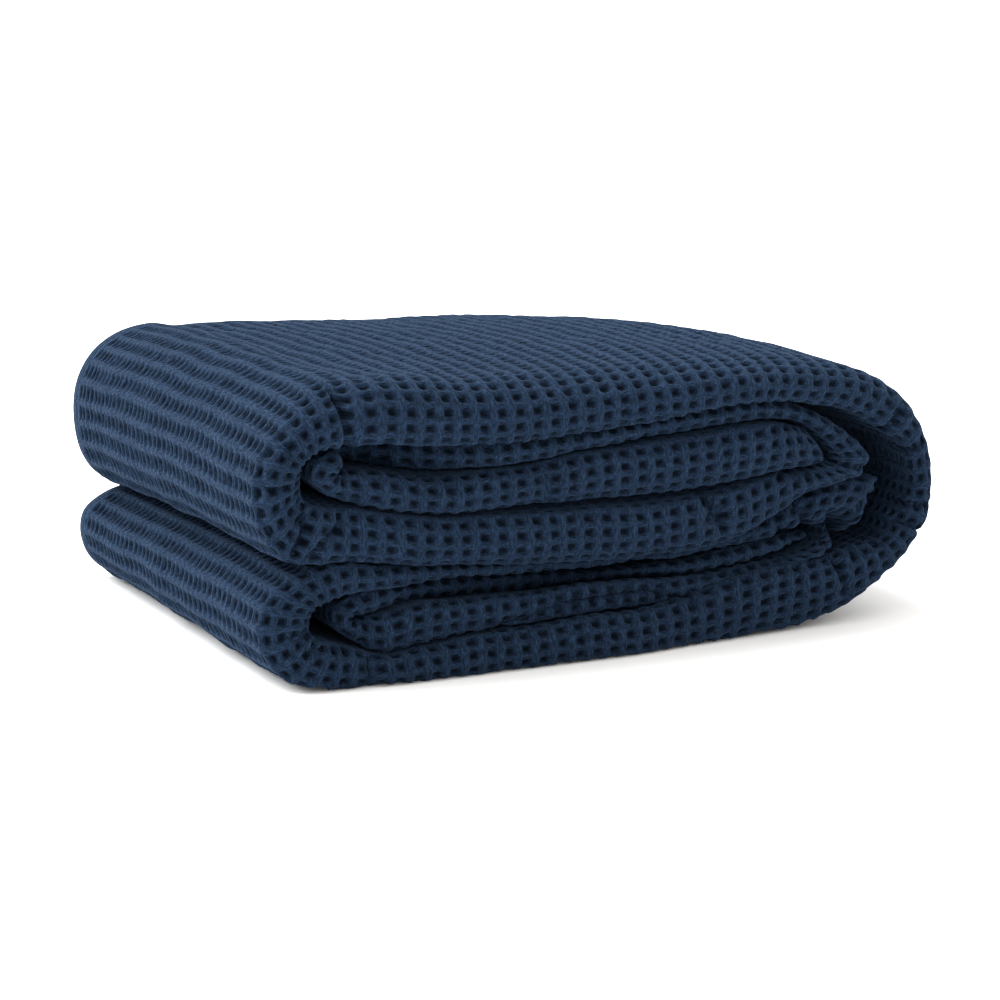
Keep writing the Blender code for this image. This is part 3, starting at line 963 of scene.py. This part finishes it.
def inner_length(name, first, last):
    """A length of the four inner plies, as a shell."""
    numbers = thinned(last - first + 1, INNER_STEP)
    cuts = CUTS[first:last + 1][numbers]
    ply = OuterPly(cuts)
    y, share = inner_line(ply)
    points = in_space(cuts, y, share)
    outward = normals_of(points, cuts)
    pitch = (ply.high - ply.low) / TOP_PLY * ply.thick
    thickness = np.clip(pitch - INNER_GAP, *INNER_THICKNESS)[:, None] * np.ones_like(y)
    thickness *= end_rounding(first, last)[numbers][:, None]
    thickness[:, [0, -1]] *= EDGE_THICKNESS
    steps = np.linalg.norm(np.diff(points, axis=1), axis=-1)
    across = ply.end_at[:, None] - LEVEL_ONE_TAIL - added_up(steps)
    along = ALONG[first:last + 1][numbers][:, None] * np.ones_like(across)
    half = outward * (0.5 * thickness)[..., None]
    everything = [list(range(size)) for size in y.shape]
    maps = {"weave": np.stack(cell_places(along, across), axis=-1),
            "hem": np.stack([along, across - across[:, -1:]], axis=-1) / HEM_WIDTH}
    piece = shell(name, points + half, points - half, *everything, maps, slice(-1, None))
    return piece, (float(np.mean(np.sum(steps, axis=1))) * MM, (ALONG[last] - ALONG[first]) * MM)


middle_cut = cloth_at("AH", 0.5)
INSIDES = {
    "blanket_upper_inside": (0, middle_cut),
    "blanket_lower_inside": (middle_cut, len(ALONG) - 1),
}
for name, (first, last) in INSIDES.items():
    pieces[name] = inner_length(name, first, last)
    describe(name, *pieces[name])

# %% [markdown]
# ## Lights and floor
#
# A white set: a pale floor, a bright even surround, and two big soft lights above. The one from the
# left behind is strong, and the one from the right only lifts the big turn out of the shade.
# Lights of the sun kind shine from far away, so they give every part of the pile the same light.

# %% Floor
FLOOR_COLOUR = (0.96, 0.96, 0.96)
FLOOR_ROUGHNESS = 0.8
HALF_FLOOR = 40.0     # half its side in metres, so wide that its edge is never seen
FLOOR_GAP = 0.3 * MM


def plain_material(name, colour, roughness):
    """A material of one colour."""
    material = bpy.data.materials.new(name)
    material.use_nodes = True
    shader = material.node_tree.nodes["Principled BSDF"]
    shader.inputs["Base Color"].default_value = (*colour, 1)
    shader.inputs["Roughness"].default_value = roughness
    return material


scene = bpy.context.scene
floor_mesh = bpy.data.meshes.new("floor")
floor_mesh.from_pydata([(-HALF_FLOOR, -HALF_FLOOR, 0), (HALF_FLOOR, -HALF_FLOOR, 0),
                        (HALF_FLOOR, HALF_FLOOR, 0), (-HALF_FLOOR, HALF_FLOOR, 0)], [], [(0, 1, 2, 3)])
floor = bpy.data.objects.new("floor", floor_mesh)
floor.location.z = low.z - FLOOR_GAP
scene.collection.objects.link(floor)
floor.data.materials.append(plain_material("white floor", FLOOR_COLOUR, FLOOR_ROUGHNESS))
floor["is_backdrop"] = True
print("floor's colour:", FLOOR_COLOUR)

# %% Light
SURROUND_COLOUR = (1.0, 0.975, 0.94)
SURROUND_STRENGTH = 1.25
LIGHT_COLOUR = (0.95, 0.98, 1.0)
LIGHT_ANGLE = math.radians(60)      # a wide angle makes soft shadows
SOFT_LIGHTS = {
    # the way it shines, strength
    "soft light from the left": ((0.48, -0.49, -0.75), 6.9),
    "soft light from the right": ((-0.55, 0.12, -0.83), 0.7),
}

scene.view_settings.view_transform = "Standard"
world = bpy.data.worlds.new("white surround")
scene.world = world
world.use_nodes = True
background = world.node_tree.nodes["Background"]
background.inputs["Color"].default_value = (*SURROUND_COLOUR, 1)
background.inputs["Strength"].default_value = SURROUND_STRENGTH
for name, (way, strength) in SOFT_LIGHTS.items():
    light_data = bpy.data.lights.new(name, "SUN")
    light_data.energy = strength
    light_data.angle = LIGHT_ANGLE
    light_data.color = LIGHT_COLOUR
    light = bpy.data.objects.new(name, light_data)
    light.rotation_euler = Vector(way).to_track_quat("-Z", "Y").to_euler()
    scene.collection.objects.link(light)
print("lights:", ", ".join(SOFT_LIGHTS))

# %% [markdown]
# ## Cotton
#
# Cotton yarn is dull and fluffy. Its look is made of small differences in shade: dark pits, paler
# fibres on top, and a soft bloom where short hairs catch the light. Three node groups paint the
# first two into the colour as shade, so that the open cloth and the hems share them and each can be
# read by itself. Before them come a few helpers that make one node each.

# %% Helpers for node groups
def new_group(name, inputs, outputs):
    """A shader node group with its sockets, and its input and output nodes."""
    group = bpy.data.node_groups.new(name, "ShaderNodeTree")
    for label, kind, value in inputs:
        socket = group.interface.new_socket(label, in_out="INPUT", socket_type=kind)
        if value is not None:
            socket.default_value = value
    for label, kind in outputs:
        group.interface.new_socket(label, in_out="OUTPUT", socket_type=kind)
    return group, group.nodes.new("NodeGroupInput"), group.nodes.new("NodeGroupOutput")


def set_inputs(tree, node, values):
    """Links sockets and sets plain values, by the name or the number of the node's inputs."""
    for place, value in values.items():
        if isinstance(value, bpy.types.NodeSocket):
            tree.links.new(value, node.inputs[place])
        else:
            node.inputs[place].default_value = value


def maths(tree, operation, *values):
    """A maths node's output."""
    node = tree.nodes.new("ShaderNodeMath")
    node.operation = operation
    set_inputs(tree, node, dict(enumerate(values)))
    return node.outputs[0]


def eased(tree, value, low, high):
    """0 below low, 1 above high and smooth between."""
    node = tree.nodes.new("ShaderNodeMapRange")
    node.interpolation_type = "SMOOTHSTEP"
    set_inputs(tree, node, {"Value": value, "From Min": low, "From Max": high})
    return node.outputs["Result"]


def mixed(tree, factor, first, second):
    """The first value where the factor is 0, and the second where it is 1."""
    node = tree.nodes.new("ShaderNodeMix")
    set_inputs(tree, node, {"Factor": factor, "A": first, "B": second})
    return node.outputs["Result"]


def varied(tree, value, amount):
    """A value from 0 to 1, as a factor that varies about 1 by an amount."""
    return maths(tree, "MULTIPLY_ADD", value, amount, 1 - 0.5 * amount)


def noise(tree, vector, scale, detail):
    """A noise value from 0 to 1."""
    node = tree.nodes.new("ShaderNodeTexNoise")
    set_inputs(tree, node, {"Vector": vector, "Scale": scale, "Detail": detail})
    return node.outputs["Fac"]


def stretched(tree, vector, factors):
    """The vector, multiplied part by part."""
    node = tree.nodes.new("ShaderNodeVectorMath")
    node.operation = "MULTIPLY"
    set_inputs(tree, node, {0: vector, 1: factors})
    return node.outputs[0]


def parts_of(tree, vector):
    """The vector's three parts."""
    node = tree.nodes.new("ShaderNodeSeparateXYZ")
    tree.links.new(vector, node.inputs[0])
    return node.outputs


CELL_IN_MM = (CELL_ALONG, CELL_ACROSS, 1.0)
print("a cell on the weave map, in mm:", CELL_IN_MM[:2])

# %% [markdown]
# The first group finds the cells. An image of the weave would smear in the turns. The map called
# weave counts in cells instead, so the fraction of it is a place in a cell, and the shade follows
# the relief exactly.

# %% The waffle cell
cell_group, start, end = new_group(
    "waffle cell", [("Weave", "NodeSocketVector", None)],
    [("Pit", "NodeSocketFloat"), ("Ridge across", "NodeSocketFloat")])
weave_parts = parts_of(cell_group, start.outputs["Weave"])
ridges = []
for place, floor_share, foot in zip(weave_parts, PIT_FLOOR, RIDGE_FOOT):
    fraction = maths(cell_group, "FRACT", place)
    from_middle = maths(cell_group, "ABSOLUTE", maths(cell_group, "MULTIPLY_ADD", fraction, 2.0, -1.0))
    ridges.append(eased(cell_group, from_middle, floor_share, foot))
open_along = maths(cell_group, "SUBTRACT", 1.0, ridges[0])
open_across = maths(cell_group, "MULTIPLY_ADD", ridges[1], -CROSS_RIDGE, 1.0)
set_inputs(cell_group, end, {"Pit": maths(cell_group, "MULTIPLY", open_along, open_across),
                             "Ridge across": ridges[0]})
print("group:", cell_group.name)

# %% [markdown]
# The second group draws the yarns. They run along the ridges and cross in the pits. An even wave
# alone looks like plastic mesh, so most of it is noise that is drawn out along the yarn, as loose
# fibres are.

# %% The yarns
YARNS = (9, 7)        # yarns side by side in a cell's length and in its width
YARN_WANDER = 0.3     # how far they wander, in cells
STREAKS = ((0.32, 0.95, 1.0), (0.95, 0.32, 1.0))    # how the noise is drawn out, along and across
FIBRE_EDGE = (0.34, 0.66)   # noise below is a gap, and above it is a fibre
FIBRE_SHARE = 0.75    # share of loose fibres in a thread, and the rest is even yarn
FIBRE_POWER = 0.8     # below 1, it makes the fibres' tops rounder
yarn_group, start, end = new_group(
    "cotton yarn", [("Weave", "NodeSocketVector", None), ("Ridge across", "NodeSocketFloat", 0.5)],
    [("Thread", "NodeSocketFloat"), ("Height", "NodeSocketFloat")])
weave_mm = stretched(yarn_group, start.outputs["Weave"], CELL_IN_MM)
slow_noise = noise(yarn_group, weave_mm, scale=0.35, detail=1.0)
wander = maths(yarn_group, "MULTIPLY_ADD", slow_noise, YARN_WANDER, -0.5 * YARN_WANDER)
yarns = []
for part, count in zip(parts_of(yarn_group, start.outputs["Weave"]), YARNS):
    place = maths(yarn_group, "ADD", part, wander)
    wave = maths(yarn_group, "COSINE", maths(yarn_group, "MULTIPLY", place, 2 * math.pi * count))
    yarns.append(maths(yarn_group, "MULTIPLY_ADD", wave, 0.5, 0.5))
even_yarn = mixed(yarn_group, start.outputs["Ridge across"], yarns[1], yarns[0])
streaks = [noise(yarn_group, stretched(yarn_group, weave_mm, factors), scale=1.0, detail=3.0)
           for factors in STREAKS]
fibres = eased(yarn_group, mixed(yarn_group, start.outputs["Ridge across"], *streaks), *FIBRE_EDGE)
thread = maths(yarn_group, "ADD", maths(yarn_group, "MULTIPLY", even_yarn, 1 - FIBRE_SHARE),
               maths(yarn_group, "MULTIPLY", fibres, FIBRE_SHARE))
height = maths(yarn_group, "POWER", thread, FIBRE_POWER)
set_inputs(yarn_group, end, {"Thread": thread, "Height": height})
print("group:", yarn_group.name)

# %% [markdown]
# The third group mixes the colour. A pit gets painted shade, since little light gets out of it, and
# so do the gaps between raised fibres, which leaves the fibres lighter. Dyed cotton is never quite
# even, from one fibre to the next, from cell to cell and over some centimetres.

# %% The colour of cotton
BASE_COLOUR = (0.0100, 0.0204, 0.0418)
PAINTED_PIT_SHADE = 0.80      # painted shade: how much darker the colour is on the floor of a pit
PAINTED_FIBRE_GAP_SHADE = 0.95   # painted shade: how much darker the colour is between raised fibres, which look lighter beside it
CHANGES = {
    # noise scale, noise detail, how much the shade changes
    "from fibre to fibre": (0.9, 2.0, 1.3),
    "over some centimetres": (0.03, 2.0, 0.22),
    "from cell to cell": (0.22, 1.0, 0.5),
}
ROUGHNESS = 0.9
PIT_ROUGHNESS = 0.08  # how much rougher the floor of a pit is
colour_group, start, end = new_group(
    "cotton colour",
    [("Base", "NodeSocketColor", (*BASE_COLOUR, 1)), ("Pit", "NodeSocketFloat", 0.0),
     ("Thread", "NodeSocketFloat", 0.5), ("Weave", "NodeSocketVector", None)],
    [("Color", "NodeSocketColor"), ("Roughness", "NodeSocketFloat")])
weave_mm = stretched(colour_group, start.outputs["Weave"], CELL_IN_MM)
# painted shade in the pits and between fibres, times the dye's uneven tone
shade = maths(colour_group, "MULTIPLY",
              maths(colour_group, "MULTIPLY_ADD", start.outputs["Pit"], -PAINTED_PIT_SHADE, 1.0),
              varied(colour_group, start.outputs["Thread"], PAINTED_FIBRE_GAP_SHADE))
for scale, detail, amount in CHANGES.values():
    change = varied(colour_group, noise(colour_group, weave_mm, scale, detail), amount)
    shade = maths(colour_group, "MULTIPLY", shade, change)
scaled = colour_group.nodes.new("ShaderNodeVectorMath")
scaled.operation = "SCALE"
set_inputs(colour_group, scaled, {"Vector": start.outputs["Base"], "Scale": shade})
roughness = maths(colour_group, "MULTIPLY_ADD", start.outputs["Pit"], PIT_ROUGHNESS, ROUGHNESS)
set_inputs(colour_group, end, {"Color": scaled.outputs[0], "Roughness": roughness})
print("group:", colour_group.name, "- the shade changes", ", ".join(CHANGES))

# %% [markdown]
# ## The two cottons
#
# The open cloth and its hem are the same cotton, so one function makes both: one with the waffle,
# and one flat, with a row of stitches. The stitches could be modelled one by one, but they are
# smaller than a yarn ridge, so a mask on the hem map is enough. Sheen stands for the short hairs.

# %% Make the cottons
STITCH_LENGTH = 3.2
STITCH_SIDE = (0.35, 0.7)   # a stitch's edge fades between these distances from the line, in mm
STITCH_TIP = (0.3, 0.42)    # and its tip between these shares of its length from its middle
COTTON_FINISH = {"Specular IOR Level": 0.04, "Sheen Weight": 0.075, "Sheen Roughness": 0.35,
                 "Sheen Tint": (0.35, 0.6, 1.0, 1)}
YARN_HEIGHT = 0.5 * MM


def map_place(tree, name):
    """The place on a UV map."""
    node = tree.nodes.new("ShaderNodeUVMap")
    node.uv_map = name
    return node.outputs[0]


def use_group(tree, group, values):
    """A node that uses a group, with its inputs set."""
    node = tree.nodes.new("ShaderNodeGroup")
    node.node_tree = group
    set_inputs(tree, node, values)
    return node.outputs


def stitch_mask(tree):
    """1 on the hem's stitches."""
    along, from_edge, _ = parts_of(tree, map_place(tree, "hem"))
    off_line = maths(tree, "ABSOLUTE", maths(tree, "MULTIPLY_ADD", from_edge, HEM_WIDTH, -STITCH_AT))
    stitches = maths(tree, "FRACT", maths(tree, "MULTIPLY", along, HEM_WIDTH / STITCH_LENGTH))
    off_middle = maths(tree, "ABSOLUTE", maths(tree, "SUBTRACT", stitches, 0.5))
    on_line = maths(tree, "SUBTRACT", 1.0, eased(tree, off_line, *STITCH_SIDE))
    inside = maths(tree, "SUBTRACT", 1.0, eased(tree, off_middle, *STITCH_TIP))
    return maths(tree, "MULTIPLY", on_line, inside)


def cotton_material(name, base, cells, stitches):
    """Cotton with so much waffle and stitching: 1 or 0 of each."""
    material = plain_material(name, base, ROUGHNESS)
    tree = material.node_tree
    weave = map_place(tree, "weave")
    cell = use_group(tree, cell_group, {"Weave": weave})
    yarn = use_group(tree, yarn_group, {"Weave": weave, "Ridge across": cell["Ridge across"]})
    stitch = maths(tree, "MULTIPLY", stitch_mask(tree), float(stitches))
    # the pit mask and the threads say where the colour gets painted shade
    colour = use_group(tree, colour_group, {
        "Base": (*base, 1), "Weave": weave,
        "Pit": maths(tree, "MULTIPLY", cell["Pit"], float(cells)),
        "Thread": maths(tree, "ADD", yarn["Thread"], stitch)})
    bump = tree.nodes.new("ShaderNodeBump")
    set_inputs(tree, bump, {"Height": maths(tree, "ADD", yarn["Height"], stitch),
                            "Distance": YARN_HEIGHT, "Strength": 1.0})
    set_inputs(tree, tree.nodes["Principled BSDF"], {
        "Base Color": colour["Color"], "Roughness": colour["Roughness"], "Normal": bump.outputs[0],
        **COTTON_FINISH})
    return material


cottons = [cotton_material("waffle cotton", BASE_COLOUR, cells=1, stitches=0),
           cotton_material("hem cotton", BASE_COLOUR, cells=0, stitches=1)]
print("materials:", [cotton.name for cotton in cottons])

# %% [markdown]
# ## Dress the pieces
#
# Every piece gets both cottons, the waffle first, because the shells number them so. All of them
# are one soft sheet that takes the place of the plain solid, which is hidden. How large each would
# lie flat was printed when it was made.

# %% Dress the pieces
for piece, flat in pieces.values():
    for cotton in cottons:
        piece.data.materials.append(cotton)
    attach(piece, "root")
    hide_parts(NODE)
print("pieces dressed:", len(pieces))

# %% [markdown]
# ## Size
#
# The drawn blanket has to fill the same box as the plain one. The plain one's size is printed when
# it is loaded, and the drawn one's here.

# %% Size
low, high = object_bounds()
print("visual size in mm:", [round(1000 * s, 1) for s in high - low])
